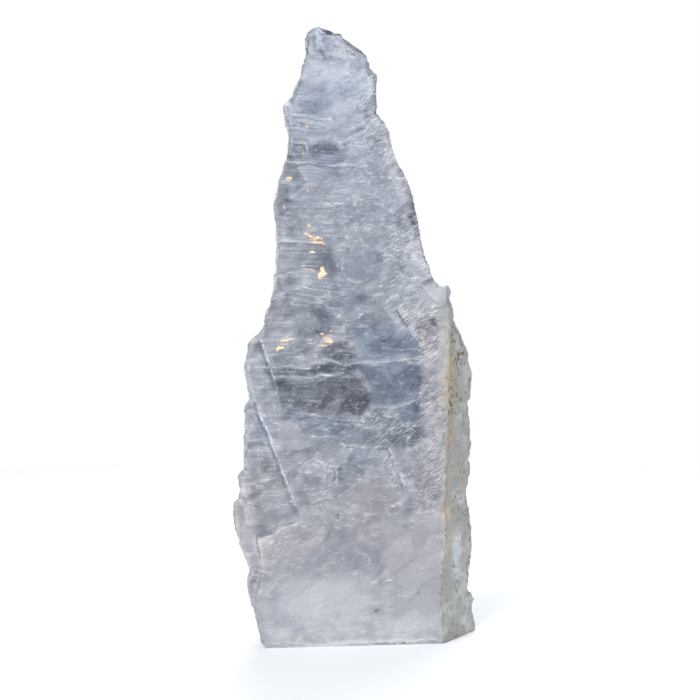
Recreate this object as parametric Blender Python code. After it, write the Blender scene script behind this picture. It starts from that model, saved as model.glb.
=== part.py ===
"""A selenite slab: one tall blade of clear gypsum, broken at its margins and sawn flat below.

The crystal is a stack of cleavage leaves. Each leaf is a flat outline extruded to its own
thickness, and the leaves overlap, so one Boolean union makes them a single solid. Planes
then cut the oblique prism face, the tapered back and the flat foot.

Axes: X runs to the right along the broad front face, Y goes back, Z is up. The origin is
the middle of the flat foot.
"""

import math

import bmesh
import bpy
from mathutils import Matrix, Vector, noise

MM = 0.001

# Driving dimensions, in millimetres.
THICKNESS = 34.0
FRONT = -THICKNESS / 2
BACK = THICKNESS / 2
ARRIS_X = 32.0
PRISM_TURN = math.radians(55.8)  # gypsum's prism face turns this far from the cleavage face
SHOULDER_Z = 158.0
FOOT_ALLOWANCE = 3.0  # leaves start this far under the foot and are sawn off at Z = 0
LEAF_LAP = 1.5

# Depth of each leaf's front, counted back from the broad front face.
UPPER_RECESS = 1.0
SILL_RECESS = 2.4
BODY_RECESS = 5.0
# Depth of each leaf's back, as y.
CORE_BACK = -2.0
BODY_BACK = 4.0
RIB_BACK = 10.0

# The broken left margin, from the foot up, as (x, z).
LEFT_MARGIN = [
    (-54.4, -FOOT_ALLOWANCE), (-55, 0), (-57.5, 8), (-60, 17), (-62, 26), (-62.6, 30.5),
    (-61.3, 35.5), (-62.2, 39), (-64, 44), (-66.4, 48), (-69, 61), (-68.7, 69), (-66.5, 70.5),
    (-66, 76), (-67, 80.5), (-63.5, 84.5), (-64.2, 98.5), (-63.3, 107), (-63.7, 114.5),
    (-61.2, 117), (-63.8, 133), (-62.4, 141), (-61.8, 145), (-56.5, 149.8), (-53.8, 154),
    (-54.4, 157.2), (-52.5, 162), (-50, 169), (-47.7, 192.5), (-49.6, 210), (-48.8, 218),
    (-44.5, 232), (-42.7, 243), (-43.5, 249), (-45.4, 258.5), (-41.3, 263), (-37.4, 273),
]
# The broken right margin of the blade and body, from the top down.
RIGHT_MARGIN = [
    (-14.5, 290), (-12.5, 288), (-8, 285), (-5.3, 283), (-3.4, 276), (0, 273.5), (-0.9, 266),
    (0, 259), (-0.6, 256), (3, 251.3), (5.6, 246.5), (7.3, 235), (12, 227.3), (16.5, 217.5),
    (19.6, 204), (20.8, 195.5), (23, 186.5), (26.5, 178.7), (30.5, 173.8),
]
RIGHT_FLANK = [
    (35.6, 173.8), (36.8, 171), (36.7, 160), (38, 155.3), (43, 147.5), (46.9, 141), (48.2, 136),
    (48.8, 118), (46.6, 114.5), (46.9, 110), (50, 94), (50, 77), (48, 69.5), (50.6, 54),
    (53, 32), (52.6, 21.5), (53.6, 15.5), (53, 11.5), (55, 3), (55, -FOOT_ALLOWANCE),
]
CROWN = [(-35.6, 279), (-34.4, 286), (-31, 291), (-20, 292), (-17, 291)]

# The front leaf ends in two long diagonal ledges on the left and a ragged step at the top.
FRONT_LEAF_FOOT = [
    (-53.6, -FOOT_ALLOWANCE), (-56, 8), (-58.4, 17), (-59.4, 23.5), (-57.4, 30), (-56.4, 38),
    (-59, 52),
]
LOWER_LEDGE = [(-51, 54.6), (-45.8, 57.4), (-38.3, 60.5), (-38.8, 63.8)]
LONG_LEDGE = [(-42.8, 75), (-48.5, 91), (-56.2, 111.8), (-58.6, 118.2)]
UPPER_LEDGE = [(-48.1, 121.6), (-50.5, 128.7), (-52.2, 135.4), (-55.2, 142.6), (-56.2, 148.6)]
TOP_STEP = [
    (-42.6, 241), (-34.8, 241.2), (-33.3, 236.2), (-25, 234.4), (-17.4, 233.4), (-19, 240.7),
    (-11, 245.6), (-3.5, 249.6),
]

# How far the arris wanders sideways at each height, as (z, shift).
ARRIS_WANDER = [
    (0, 0.0), (18, -1.4), (30, -1.2), (54, 1.0), (69, 0.0), (93, 1.6), (108, 2.4), (127, 2.4),
    (146, 1.6), (165, 1.0),
]

# Facets that slope back to the right from a line on the front face, as
# (name, lower end, upper end, slope, reach).
FRONT_FACETS = [
    ("low_margin_facet", (26, 163), (3, 232), 0.30, 16),
    ("high_margin_facet", (9, 214), (-13, 268), 0.20, 16),
    ("shoulder_facet", (26, 112), (9, 170), 0.13, 30),
    ("crown_facet", (-11, 262), (-20, 300), 0.30, 14),
]
# Chips broken from the front edge of the foot, as (x, width, height).
FOOT_CHIPS = [(-47, 9, 1.6), (2.5, 7, 1.3), (10, 6, 2.2), (24, 9, 1.2)]
# Chips broken from the back edges of the margins, as (side, x, y, z, upward tilt).
BACK_CHIPS = [
    (-1, -56, 14.5, 36, 0.3), (-1, -52, 15.5, 64, -0.5), (-1, -60.5, 7.5, 99, 0.4),
    (-1, -58, 8.5, 131, -0.3), (-1, -50, 1.5, 158, 0.6), (-1, -45.6, 0.5, 188, -0.3),
    (-1, -46.8, -1, 212, 0.5), (-1, -42.2, -3, 236, -0.4), (-1, -42.4, -4, 257, 0.5),
    (1, 50, 15, 30, -0.2), (1, 46, 15.5, 62, 0.3), (1, 50, 9.4, 96, -0.3),
    (1, 21.5, 1, 187, 0.5), (1, 14.6, -1, 214, -0.3), (1, 4.6, -2, 240, 0.5),
    (1, -2.4, -4, 266, -0.4),
]

RAGGED_STEP = 3.4
RAGGED_DEPTH = 0.6
PRISM_BANDS = 5.0
PRISM_RELIEF = 0.8
PIT_DEPTH = 2.6
SHORTEST_EDGE = 0.5
SEED = 7

SLAB_COLOR = (0.42, 0.47, 0.54, 1.0)


def clear_scene():
    """Remove every object of the scene."""
    for old in list(bpy.data.objects):
        bpy.data.objects.remove(old, do_unlink=True)


def new_collection(name):
    """Return a new collection linked to the scene."""
    made = bpy.data.collections.new(name)
    bpy.context.scene.collection.children.link(made)
    return made


def above(outline, z):
    """Return the points of an outline at or above a height."""
    return [point for point in outline if point[1] >= z]


def below(outline, z):
    """Return the points of an outline at or below a height."""
    return [point for point in outline if point[1] <= z]


def loosen(stretch, least, most, seed):
    """Break a clockwise stretch of margin back by an amount that drifts along it.

    The points at the foot keep their height, so that the saw cut stays whole.
    """
    moved = []
    for index, (x, z) in enumerate(stretch):
        before = Vector(stretch[max(index - 1, 0)])
        after = Vector(stretch[min(index + 1, len(stretch) - 1)])
        along = (after - before).normalized()
        drift = 0.5 + 0.5 * noise.noise(Vector((x, z, seed)) * 0.083)
        step = least + (most - least) * min(1.0, max(0.0, drift))
        lift = 0 if z <= 0 else -along.x * step
        moved.append((x + along.y * step, z + lift))
    return moved


def shifted(stretch, by):
    """Return a stretch of margin moved sideways."""
    return [(x + by, z) for x, z in stretch]


def object_from_mesh(name, mesh, collection):
    """Wrap a mesh in an object of a collection."""
    made = bpy.data.objects.new(name, mesh)
    collection.objects.link(made)
    return made


def leaf(name, outline, front, back, collection):
    """Extrude a flat outline, given as (x, z) in millimetres, from front to back."""
    curve = bpy.data.curves.new(name + "_outline", "CURVE")
    curve.dimensions = "2D"
    curve.fill_mode = "BOTH"
    curve.extrude = (back - front) / 2 * MM
    spline = curve.splines.new("POLY")
    spline.points.add(len(outline) - 1)
    for point, (x, z) in zip(spline.points, outline):
        point.co = (x * MM, z * MM, 0, 1)
    spline.use_cyclic_u = True
    holder = object_from_mesh(name + "_outline", curve, collection)
    holder.rotation_euler.x = math.pi / 2
    holder.location.y = (front + back) / 2 * MM
    bpy.context.view_layer.update()
    mesh = bpy.data.meshes.new_from_object(holder)
    mesh.transform(holder.matrix_world)
    bpy.data.objects.remove(holder, do_unlink=True)
    merge_doubles(mesh)
    return object_from_mesh(name, mesh, collection)


def lump(name, centre, radii, collection):
    """Make a knobbly boulder shape from an icosphere."""
    body = bmesh.new()
    bmesh.ops.create_icosphere(body, subdivisions=3, radius=1.0)
    for vert in body.verts:
        knob = noise.noise(vert.co * 1.7 + Vector(centre) * 0.1)
        vert.co *= 1 + 0.22 * knob
    size = Matrix.Diagonal((*[radius * MM for radius in radii], 1))
    bmesh.ops.transform(body, matrix=Matrix.Translation(Vector(centre) * MM) @ size, verts=body.verts)
    mesh = bpy.data.meshes.new(name)
    body.to_mesh(mesh)
    body.free()
    return object_from_mesh(name, mesh, collection)


def cleaver(name, on_face, outward, along, size, collection):
    """Make a box whose one face lies on a cleavage plane, to cut all that is outside it.

    on_face is the middle of the cut face, outward points into the box, along is the box's
    length direction, and size gives its width, length and depth, in millimetres.
    """
    body = bmesh.new()
    bmesh.ops.create_cube(body, size=1.0)
    width, length, depth = size
    bmesh.ops.scale(body, vec=(width * MM, length * MM, depth * MM), verts=body.verts)
    bmesh.ops.translate(body, vec=(0, 0, depth / 2 * MM), verts=body.verts)
    mesh = bpy.data.meshes.new(name)
    body.to_mesh(mesh)
    body.free()
    made = object_from_mesh(name, mesh, collection)
    axis_z = Vector(outward).normalized()
    axis_x = Vector(along).cross(axis_z).normalized()
    axis_y = axis_z.cross(axis_x)
    turn = Matrix((axis_x, axis_y, axis_z)).transposed().to_4x4()
    made.matrix_world = Matrix.Translation(Vector(on_face) * MM) @ turn
    return made


def front_facet(name, lower, upper, slope, reach, collection):
    """Make the box that slopes the front face back, to the right of a line on it."""
    start = Vector((lower[0], FRONT, lower[1]))
    end = Vector((upper[0], FRONT, upper[1]))
    along = (end - start).normalized()
    to_right = Vector((along.z, 0, -along.x))
    outward = Vector((0, -1, 0)) + to_right * slope
    middle = (start + end) / 2 + (to_right + Vector((0, slope, 0))) * reach / 2
    return cleaver(name, middle, outward, along, (reach + 4, (end - start).length, 20), collection)


def merge_doubles(mesh):
    """Merge the coincident points of a mesh."""
    body = bmesh.new()
    body.from_mesh(mesh)
    bmesh.ops.remove_doubles(body, verts=body.verts, dist=0.00002)
    bmesh.ops.recalc_face_normals(body, faces=body.faces)
    body.to_mesh(mesh)
    body.free()


def combine(target, tools, operation):
    """Apply a Boolean of each tool to the target, and hide the tools.

    The exact solver leaves open edges where the walls of two leaves run almost together,
    so the manifold solver, which keeps closed meshes closed, does the work here.
    """
    for tool in tools:
        modifier = target.modifiers.new(tool.name, "BOOLEAN")
        modifier.object = tool
        modifier.operation = operation
        modifier.solver = "MANIFOLD"
        tool.hide_render = True
        tool.display_type = "WIRE"
    depsgraph = bpy.context.evaluated_depsgraph_get()
    result = bpy.data.meshes.new_from_object(target.evaluated_get(depsgraph))
    target.modifiers.clear()
    target.data = result


def slab_leaves(cutters):
    """Return the cleavage leaves of the slab, from front to back."""
    left_blade = above(LEFT_MARGIN, 149)
    blade = LEFT_MARGIN + CROWN + RIGHT_MARGIN
    front_outline = (
        FRONT_LEAF_FOOT + LOWER_LEDGE + LONG_LEDGE + UPPER_LEDGE
        + loosen(below(left_blade, 240), 0.2, 1.5, SEED + 3) + TOP_STEP
        + shifted(below(RIGHT_MARGIN, 248), -2.4)
        + [(27, 171), (33, 163), (60, SHOULDER_Z), (60, -FOOT_ALLOWANCE)]
    )
    upper_outline = loosen(
        [(-50, 108), (-60.4, 117.6)] + above(LEFT_MARGIN, 118) + CROWN + RIGHT_MARGIN
        + [(29, 171), (40, 160), (40, 108)],
        0.5, 1.5, SEED + 2,
    )
    sill_outline = (
        [(-57, 48), (-59.4, 53), (-64.4, 68)] + shifted(below(above(LEFT_MARGIN, 70), 115), 0.7)
        + [(-60.6, 119), (-40, 121), (-40, 48)]
    )
    body_outline = loosen(blade, 0.5, 3.4, SEED) + shifted(RIGHT_FLANK, -0.4)
    rib_crest = [(-50, 153), (-41, 168), (-27, 165), (-18, 158), (-3, 160), (8, 164), (27, 156)]
    rib_outline = (
        loosen(below(LEFT_MARGIN, 146) + rib_crest, 0.8, 4.2, SEED + 1)
        + shifted(below(RIGHT_FLANK, 142), -0.2)
    )
    heel_outline = (
        [(-52.5, -FOOT_ALLOWANCE), (-54, 6), (-59, 26), (-56, 44), (-58, 70), (-51, 88)]
        + [(-44, 93), (-36, 91), (-33, 108), (-27, 112), (-12, 131), (-6, 121), (1, 118), (9, 123)]
        + [(19, 119), (25, 108), (31, 107), (38, 98), (44, 101), (47.5, 84), (46, 66)]
        + below(RIGHT_FLANK, 54)
    )
    specs = [
        ("front_leaf", front_outline, FRONT, FRONT + BODY_RECESS + LEAF_LAP),
        ("upper_leaf", upper_outline, FRONT + UPPER_RECESS, FRONT + BODY_RECESS + 2 * LEAF_LAP),
        ("sill_leaf", sill_outline, FRONT + SILL_RECESS, FRONT + BODY_RECESS + 2.5 * LEAF_LAP),
        ("core_leaf", blade + RIGHT_FLANK, FRONT + BODY_RECESS, CORE_BACK),
        ("body_leaf", body_outline, CORE_BACK - LEAF_LAP, BODY_BACK),
        ("rib_leaf", rib_outline, BODY_BACK - LEAF_LAP, RIB_BACK),
        ("heel_leaf", heel_outline, RIB_BACK - LEAF_LAP, BACK),
    ]
    return [leaf(*spec, cutters) for spec in specs]


def slab_lumps(cutters):
    """Return the rounded knobs at the crown and on the shoulder."""
    return [
        lump("crown_knob", (-28.2, -9, 288.5), (7.2, 6.5, 8.8), cutters),
        lump("crown_bead", (-19.8, -8.5, 290), (4.2, 5, 5), cutters),
        lump("shoulder_knob", (32.2, -10.5, 167), (4.9, 5.5, 7.2), cutters),
    ]


def slab_cuts(cutters):
    """Return the planes that shape the slab: prism face, taper, facets and the foot."""
    up = (0, 0, 1)
    prism_out = (math.sin(PRISM_TURN), -math.cos(PRISM_TURN), 0)
    cuts = [
        cleaver("prism_plane", (ARRIS_X, FRONT, 70), prism_out, up, (100, 220, 40), cutters),
        cleaver("foot_plane", (0, 0, 0), (0, 0, -1), (0, 1, 0), (200, 100, 20), cutters),
        cleaver("back_taper", (-10, BODY_BACK - 5.7, 232), (0, 1, 0.085), up, (140, 140, 30), cutters),
        cleaver("crown_slope", (-20, FRONT + 5, 292), (0.1, -1, 0.42), up, (50, 24, 12), cutters),
    ]
    cuts += [front_facet(*facet, cutters) for facet in FRONT_FACETS]
    return cuts


def slab_chips(cutters):
    """Return the boxes that chip the foot's front edge and the back edges of the margins."""
    chips = []
    for number, (x, width, height) in enumerate(FOOT_CHIPS):
        place = (x, FRONT + 0.5, height * 0.5)
        chips.append(cleaver(f"foot_chip_{number}", place, (0.1, -1, -0.7), (0, -0.6, 1),
                             (width, height * 2, 6), cutters))
    for number, (side, x, y, z, tilt) in enumerate(BACK_CHIPS):
        chips.append(cleaver(f"back_chip_{number}", (x, y, z), (side, 0.9, tilt), (0, -tilt, 1),
                             (60, 19, 30), cutters))
    return chips


def is_on_prism(point):
    """Tell whether a point lies on the oblique prism face."""
    across = (point.x / MM - ARRIS_X) * math.sin(PRISM_TURN)
    return abs(across - (point.y / MM - FRONT) * math.cos(PRISM_TURN)) < 0.05


def wander(z):
    """Interpolate how far the arris wanders sideways at a height."""
    for (z_low, low), (z_high, high) in zip(ARRIS_WANDER, ARRIS_WANDER[1:]):
        if z_low <= z <= z_high:
            return low + (high - low) * (z - z_low) / (z_high - z_low)
    return 0.0


def band_prism_face(body):
    """Cut the prism face into bands, so that it can take relief."""
    levels = int((SHOULDER_Z + 8) / PRISM_BANDS)
    along = Vector((math.cos(PRISM_TURN), math.sin(PRISM_TURN), 0))
    planes = [(Vector((0, 0, band * PRISM_BANDS * MM)), Vector((0, 0, 1))) for band in range(1, levels)]
    arris = Vector((ARRIS_X, FRONT, 0))
    planes += [((arris + along * reach) * MM, along) for reach in (5, 10, 15, 20, 25, 30, 35)]
    for place, direction in planes:
        faces = [face for face in body.faces if all(is_on_prism(vert.co) for vert in face.verts)]
        edges = {edge for face in faces for edge in face.edges}
        verts = {vert for face in faces for vert in face.verts}
        bmesh.ops.bisect_plane(
            body, geom=[*verts, *edges, *faces], dist=0.00005, plane_co=place, plane_no=direction
        )


def split_long_walls(body):
    """Divide the long edges of the broken walls, which run neither flat nor sawn."""
    walls = [face for face in body.faces if abs(face.normal.y) < 0.9 and abs(face.normal.z) < 0.999]
    edges = {edge for face in walls for edge in face.edges if edge.calc_length() > RAGGED_STEP * MM}
    for cuts in (3, 2, 1):
        picked = [edge for edge in edges if edge.is_valid
                  and edge.calc_length() > (cuts + 0.6) * RAGGED_STEP * MM]
        bmesh.ops.subdivide_edges(body, edges=picked, cuts=cuts)


def longest_link(vert):
    """Return the length of the longest edge at a vertex."""
    return max(link.calc_length() for link in vert.link_edges)


def neighbours(vert):
    """Return the vertices that share an edge with a vertex."""
    return {link.other_vert(vert) for link in vert.link_edges}


def drop_short_edges(body):
    """Weld the ends of edges too short to show, separate ones at a time, so no slivers stay.

    The end with the longest edge stays put, because it is a corner of a flat face. An edge
    whose ends share more than the two corners of its own triangles is left, so that the
    surface stays closed.
    """
    while True:
        used, welds = set(), {}
        short = [edge for edge in body.edges if edge.calc_length() < SHORTEST_EDGE * MM]
        for edge in short:
            kept, dropped = sorted(edge.verts, key=longest_link, reverse=True)
            around = neighbours(kept) | neighbours(dropped)
            if len(neighbours(kept) & neighbours(dropped)) == len(edge.link_faces) and not around & used:
                used |= around
                welds[dropped] = kept
        if not welds:
            break
        bmesh.ops.weld_verts(body, targetmap=welds)


def ragged(point, on_prism):
    """Return a point of a broken wall moved across, so that edges are uneven."""
    z = point.z / MM
    cell = Vector((point.x, point.y, point.z)) / MM * 0.19 + Vector((SEED, 0, 0))
    rough = noise.noise_vector(cell) * RAGGED_DEPTH
    if on_prism:
        pit = max(0.0, noise.noise(cell * 1.9) - 0.3) * PIT_DEPTH
        shift = wander(z) + noise.noise(cell) * PRISM_RELIEF - pit
        return Vector((point.x + shift * MM, point.y, point.z))
    fade = min(1.0, z / 4)
    return point + Vector((rough.x, 0, rough.z * fade)) * MM


def roughen(slab):
    """Break up the straight walls and the prism face, and leave the cleavage faces flat."""
    body = bmesh.new()
    body.from_mesh(slab.data)
    bmesh.ops.remove_doubles(body, verts=body.verts, dist=0.00005)
    band_prism_face(body)
    split_long_walls(body)
    bmesh.ops.triangulate(body, faces=body.faces)
    for vert in body.verts:
        if vert.co.z > 0.0001:
            vert.co = ragged(vert.co.copy(), is_on_prism(vert.co))
    drop_short_edges(body)
    bmesh.ops.recalc_face_normals(body, faces=body.faces)
    body.to_mesh(slab.data)
    body.free()


def selenite():
    """Return the material of clear gypsum."""
    made = bpy.data.materials.new("selenite")
    made.use_nodes = True
    shader = made.node_tree.nodes["Principled BSDF"]
    shader.inputs["Base Color"].default_value = SLAB_COLOR
    shader.inputs["Roughness"].default_value = 0.28
    shader.inputs["IOR"].default_value = 1.52
    shader.inputs["Metallic"].default_value = 0.0
    return made


def main():
    """Build the slab."""
    clear_scene()
    parts = new_collection("selenite_slab")
    cutters = new_collection("leaves_and_cutters")
    leaves = slab_leaves(cutters)
    slab = object_from_mesh("selenite_slab", leaves[3].data.copy(), parts)
    combine(slab, leaves[:3] + leaves[4:] + slab_lumps(cutters), "UNION")
    combine(slab, slab_cuts(cutters) + slab_chips(cutters), "DIFFERENCE")
    roughen(slab)
    slab.data.name = "selenite_slab"
    slab.data.materials.clear()
    slab.data.materials.append(selenite())
    for tool in cutters.objects:
        tool.hide_render = True
        tool.display_type = "WIRE"


main()
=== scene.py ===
"""The looks of a selenite slab: one blade of clear gypsum, broken at its margins, in soft light.

Sizes are in millimetres and colours are sRGB hex values. mm() and linear() turn them into
the scene's metres and linear colours. On the broad front face, x runs right and z runs up.
"""
import logging
import math
from dataclasses import dataclass, field
from enum import Enum
from itertools import product

import bmesh
import bpy
import numpy as np
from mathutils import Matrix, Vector


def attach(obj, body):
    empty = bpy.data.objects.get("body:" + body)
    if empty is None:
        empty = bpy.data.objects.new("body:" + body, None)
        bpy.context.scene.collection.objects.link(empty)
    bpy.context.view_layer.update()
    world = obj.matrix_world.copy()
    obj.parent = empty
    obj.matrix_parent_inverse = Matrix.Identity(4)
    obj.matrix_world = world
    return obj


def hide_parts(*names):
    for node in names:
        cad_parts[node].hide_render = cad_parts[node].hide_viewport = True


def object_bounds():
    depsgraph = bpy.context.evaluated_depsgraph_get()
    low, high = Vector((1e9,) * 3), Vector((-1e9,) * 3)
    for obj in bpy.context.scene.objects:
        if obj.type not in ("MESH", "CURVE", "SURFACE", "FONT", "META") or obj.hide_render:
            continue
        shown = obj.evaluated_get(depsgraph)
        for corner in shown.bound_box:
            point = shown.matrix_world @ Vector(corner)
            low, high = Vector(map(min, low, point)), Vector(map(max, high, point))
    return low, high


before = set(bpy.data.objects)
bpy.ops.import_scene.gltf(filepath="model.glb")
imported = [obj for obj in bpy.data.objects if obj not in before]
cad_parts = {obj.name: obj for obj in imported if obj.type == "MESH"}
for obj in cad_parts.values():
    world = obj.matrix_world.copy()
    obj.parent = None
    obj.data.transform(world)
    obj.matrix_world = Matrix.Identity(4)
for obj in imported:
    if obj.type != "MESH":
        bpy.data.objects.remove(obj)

CAD_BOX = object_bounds()
NODE = "selenite_slab"
PRISM_TURN = 55.8  # degrees from gypsum's cleavage face to its prism face
FRONT_Y = -17.0  # the front leaf's plane
Pairs = tuple[tuple[float, float], ...]
ARRIS: Pairs = ((0, 31), (30, 31), (60, 33), (110, 34.5), (160, 33))  # by height, the right arris's x
STREAKED: Pairs = (  # by height, how far right the level streaks reach
    (0, -70), (60, -50), (118, -30), (125, 8), (170, -4), (230, -18), (300, -20))
OCHRE_REACH: Pairs = ((40, 1.2), (90, 2.0), (120, 3.6), (165, 3.2))  # by height, half the stain's width
OCHRE_DEPTH: Pairs = (  # by height, how strong the stain is
    (0, 0.1), (25, 0.2), (50, 0.5), (72, 0.6), (100, 0.65), (118, 0.9), (140, 0.85), (152, 0.35), (158, 0))
RUSTED: Pairs = (  # by height, how many rusty pits the prism face has
    (8, 0.1), (25, 0.7), (60, 0.9), (75, 0.7), (95, 0.6), (115, 0.8), (150, 0.9), (160, 0.4))
log = logging.getLogger("selenite_slab")


def mm(length: float) -> float:
    """Return a length in metres."""
    return length * 0.001


def linear(colour: str) -> tuple[float, float, float, float]:
    """Turn an sRGB hex colour into a linear one.

    Args:
        colour: Six hex digits after a hash sign.

    Returns:
        Red, green, blue and a full alpha.
    """
    shares = [int(colour[start:start + 2], 16) / 255 for start in (1, 3, 5)]
    lit = [share / 12.92 if share <= 0.04045 else ((share + 0.055) / 1.055) ** 2.4 for share in shares]
    return (*lit, 1.0)


def smooth(low: float, high: float, value: np.ndarray) -> np.ndarray:
    """Return 0 before low, 1 past high and a smooth slope between; high may be the lower number."""
    share = np.clip((value - low) / (high - low), 0.0, 1.0)
    return share * share * (3 - 2 * share)


def along(profile: Pairs, place: np.ndarray) -> np.ndarray:
    """Read a profile of (place, value) points, with straight runs between them."""
    places, values = zip(*profile)
    return np.interp(place, places, values)


def around(values: np.ndarray, links: tuple[np.ndarray, np.ndarray]) -> np.ndarray:
    """Average over each point's neighbours.

    Args:
        values: A value for each point.
        links: The points at the two ends of each link.

    Returns:
        The mean of the neighbours' values, for each point.
    """
    start, end = links
    total = np.bincount(start, weights=values[end], minlength=len(values))
    return total / np.bincount(start, minlength=len(values))


class Grain:
    """Smooth seeded noise on a lattice that repeats, read for many points at once."""

    SIDE = 64

    def __init__(self, seed: int) -> None:
        """Draw the lattice of values."""
        self.lattice = np.random.default_rng(seed).uniform(-1, 1, (self.SIDE,) * 3)

    def at(self, *axes: np.ndarray) -> np.ndarray:
        """Read the noise.

        Args:
            axes: Three arrays of coordinates, in periods of the noise.

        Returns:
            Values from -1 to 1.
        """
        cells = [np.floor(axis).astype(int) for axis in axes]
        parts = [axis - cell for axis, cell in zip(axes, cells)]
        parts = [part * part * (3 - 2 * part) for part in parts]
        total = np.zeros(len(parts[0]))
        for steps in product((0, 1), repeat=3):
            weight = np.ones(len(total))
            for part, step in zip(parts, steps):
                weight = weight * (part if step else 1 - part)
            index = tuple((cell + step) % self.SIDE for cell, step in zip(cells, steps))
            total += weight * self.lattice[index]
        return total

    def rough(self, x: np.ndarray, y: np.ndarray, z: np.ndarray, octaves: int = 3) -> np.ndarray:
        """Add finer and weaker copies of the noise, each half the size of the one before.

        Args:
            x: First coordinates, in periods of the coarsest noise.
            y: Second coordinates.
            z: Third coordinates.
            octaves: How many copies are added.

        Returns:
            Values that mostly stay between -1 and 1.
        """
        total = np.zeros(len(x))
        for octave in range(octaves):
            scale = 2 ** octave
            shift = 17.3 * octave
            total += self.at(x * scale + shift, y * scale + shift, z * scale + shift) / scale
        return total

    def lumps(self, *axes: np.ndarray) -> tuple[np.ndarray, np.ndarray]:
        """Find the nearest of the points that are scattered one to a cell.

        Args:
            axes: Three arrays of coordinates, in cells.

        Returns:
            The distance to that point, and its own random value from -1 to 1.
        """
        home = [np.floor(axis).astype(int) for axis in axes]
        nearest = np.full(len(axes[0]), 9.0)
        value = np.zeros(len(axes[0]))
        for steps in product((-1, 0, 1), repeat=3):
            cell = [part + step for part, step in zip(home, steps)]
            away = np.zeros(len(nearest))
            for number, (axis, part) in enumerate(zip(axes, cell)):
                index = tuple((side + 11 * (number + 1)) % self.SIDE for side in cell)
                away += (axis - part - 0.5 - 0.45 * self.lattice[index]) ** 2
            nearer = away < nearest
            nearest = np.where(nearer, away, nearest)
            value = np.where(nearer, self.lattice[tuple(side % self.SIDE for side in cell)], value)
        return np.sqrt(nearest), value


class Layer(Enum):
    """The sets of lines kept apart, so that lines of one set never run close together."""

    MAIN = "main"
    FINE = "fine"
    PAINTED_GLINT = "painted_glint"


TINTS = ("tone", "cool", "warm", "calm", "frost")
MASKS = (*TINTS, "slant", "crust", "ochre", "fluff", "rust", "edge",
         *(f"{layer.value}_{part}" for layer in Layer for part in ("off", "on")))


def measure(x: np.ndarray, z: np.ndarray, points: Pairs) -> tuple[np.ndarray, np.ndarray, float]:
    """Measure places on the front against a line of points.

    Args:
        x: Sideways places.
        z: Heights.
        points: The line's (x, z) points, in order.

    Returns:
        The distance to the line, positive to its left, how far along it the nearest place is,
        and its length.
    """
    best = np.full(len(x), 1e6)
    signed = np.full(len(x), 1e6)
    place = np.zeros(len(x))
    done = 0.0
    for (x0, z0), (x1, z1) in zip(points, points[1:]):
        run_x, run_z = x1 - x0, z1 - z0
        length = math.hypot(run_x, run_z)
        share = np.clip(((x - x0) * run_x + (z - z0) * run_z) / length ** 2, 0, 1)
        off_x, off_z = x - x0 - share * run_x, z - z0 - share * run_z
        away = np.hypot(off_x, off_z)
        side = np.where(run_x * off_z - run_z * off_x >= 0, 1.0, -1.0)
        near = away < best
        best = np.where(near, away, best)
        signed = np.where(near, away * side, signed)
        place = np.where(near, done + share * length, place)
        done += length
    return signed, place, done


@dataclass(frozen=True)
class Crack:
    """A bright crack, step edge or painted glint of warm light on the front, as a line of (x, z) points.

    The face falls by drop just to the right of the line's direction, and bloom frosts both sides.
    """

    points: Pairs
    strength: float = 1.0
    bloom: float = 0.0
    drop: float = 0.0

    def read(self, x: np.ndarray, z: np.ndarray) -> tuple[np.ndarray, np.ndarray]:
        """Measure points against the crack.

        Args:
            x: Sideways places.
            z: Heights.

        Returns:
            The signed distance to the line, and a share from 0 to 1 that fades at its two ends.
        """
        signed, place, length = measure(x, z, self.points)
        taper = min(3.0, length / 5)
        return signed, smooth(0, taper, place) * smooth(0, taper, length - place)


@dataclass(frozen=True)
class Tint:
    """What a region of the front adds to the crystal's own look.

    tone makes it milkier or, below 0, clearer and darker; cool and warm colour it; calm stills
    its strokes and frost strengthens them.
    """

    tone: float = 0.0
    cool: float = 0.0
    warm: float = 0.0
    calm: float = 0.0
    frost: float = 0.0


@dataclass(frozen=True)
class Facet:
    """A cleaved facet of the front, with its outline going round to its first point again."""

    outline: Pairs
    tint: Tint
    soft: float = 1.1

    def share(self, x: np.ndarray, z: np.ndarray) -> np.ndarray:
        """Find the points that are in the facet.

        Args:
            x: Sideways places.
            z: Heights.

        Returns:
            1 inside the outline and 0 outside it, sloping over soft millimetres to each side.
        """
        ring = (*self.outline, self.outline[0])
        away = np.abs(measure(x, z, ring)[0])
        inside = np.zeros(len(x), dtype=bool)
        for (x0, z0), (x1, z1) in zip(ring, ring[1:]):
            if z0 != z1:
                crosses = ((z0 > z) != (z1 > z)) & (x < x0 + (x1 - x0) * (z - z0) / (z1 - z0))
                inside ^= crosses
        return smooth(-self.soft, self.soft, np.where(inside, away, -away))


@dataclass(frozen=True)
class Patch:
    """A soft elliptical region of the front: its middle, its half-sizes, its tint and its turn."""

    x: float
    z: float
    wide: float
    tall: float
    tint: Tint
    turn: float = 0.0

    def share(self, x: np.ndarray, z: np.ndarray) -> np.ndarray:
        """Find the points that are in the patch.

        Args:
            x: Sideways places.
            z: Heights.

        Returns:
            1 in the patch's middle, fading to 0 a little past its rim.
        """
        angle = math.radians(self.turn)
        off_x, off_z = x - self.x, z - self.z
        level = (off_x * math.cos(angle) + off_z * math.sin(angle)) / self.wide
        across = (off_z * math.cos(angle) - off_x * math.sin(angle)) / self.tall
        return smooth(1.3, 0.5, np.hypot(level, across))


def spots(tone: float, *ellipses: tuple[float, float, float, float]) -> tuple[Patch, ...]:
    """Return patches of one tone, each from its middle's x and z and its half-sizes."""
    return tuple(Patch(*ellipse, Tint(tone)) for ellipse in ellipses)


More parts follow.
